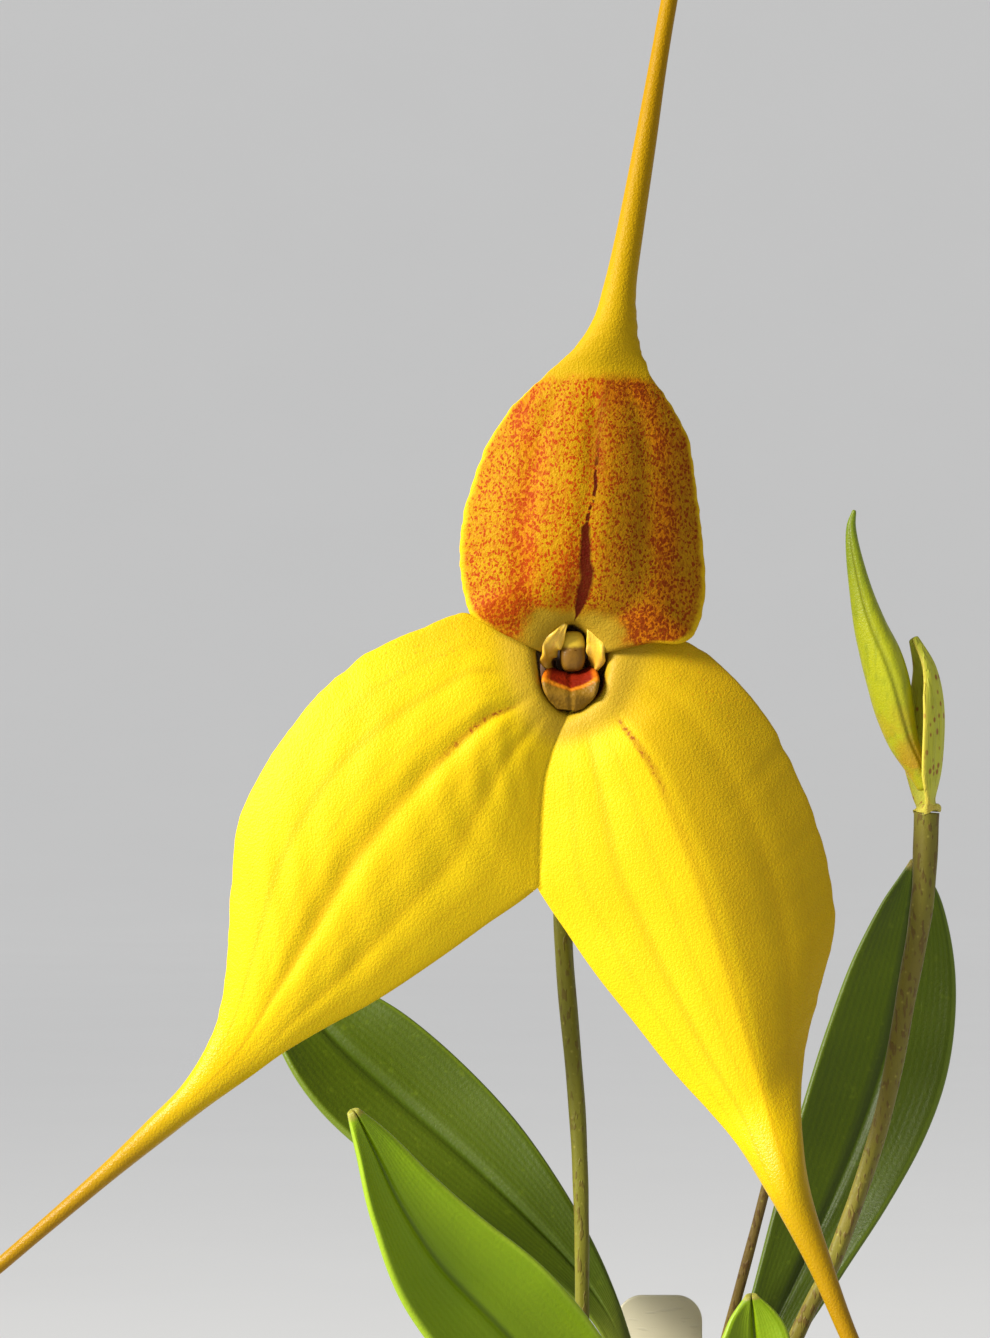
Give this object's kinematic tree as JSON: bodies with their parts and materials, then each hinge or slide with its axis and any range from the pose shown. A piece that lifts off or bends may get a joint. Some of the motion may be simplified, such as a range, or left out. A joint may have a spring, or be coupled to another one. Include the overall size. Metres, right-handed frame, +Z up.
{
  "type": "masdevallia orchid",
  "caption": "Small potted orchid with one open three-tailed yellow and orange bloom, a bud on its own stalk, strap leaves, potting mix, blank label and clay pot.",
  "frame": {"origin": "centre of the pot's flat underside", "axes": "+Z up along the pot's axis, -Y the way the bloom faces, +X to the right seen from the front"},
  "size_m": [0.1388, 0.0819, 0.2571],
  "materials": {
    "pot": "unglazed, matte, with pale mineral bloom",
    "mix": "rough damp bark with moss",
    "label": "satin, slightly aged",
    "leaf": "satin, leathery leaf, paler margin",
    "stalk": "satin, olive to brown, finely flecked",
    "bract": "papery, pale, with reddish spots",
    "bud": "satin, yellow-green",
    "ovary": "satin, yellow-green",
    "column": "waxy, tan with a bright cap",
    "lip": "velvety, dark red",
    "petal": "waxy, pale orange",
    "orange_sepal": "fine velvet, dotted orange and red on gold",
    "yellow_sepal": "fine velvet, lemon yellow, grooved"
  },
  "bodies": {
    "root": {"pot": "pot", "potting_mix": "mix", "plant_label": "label", "leaf_back_left": "leaf", "leaf_front_left": "leaf", "leaf_right": "leaf", "leaf_small": "leaf", "leaf_low_right": "leaf", "leaf_low_front": "leaf", "leaf_low_back": "leaf", "leaf_low_back_right": "leaf", "bloom_stalk": "stalk", "bud_stalk": "stalk", "old_stalk": "stalk", "bloom_bract": "bract", "bud_bract": "bract", "bud": "bud", "ovary": "ovary", "column": "column", "lip": "lip", "petal_left": "petal", "petal_right": "petal", "dorsal_sepal": "orange_sepal", "lateral_sepals": "yellow_sepal"}
  },
  "joints": []
}
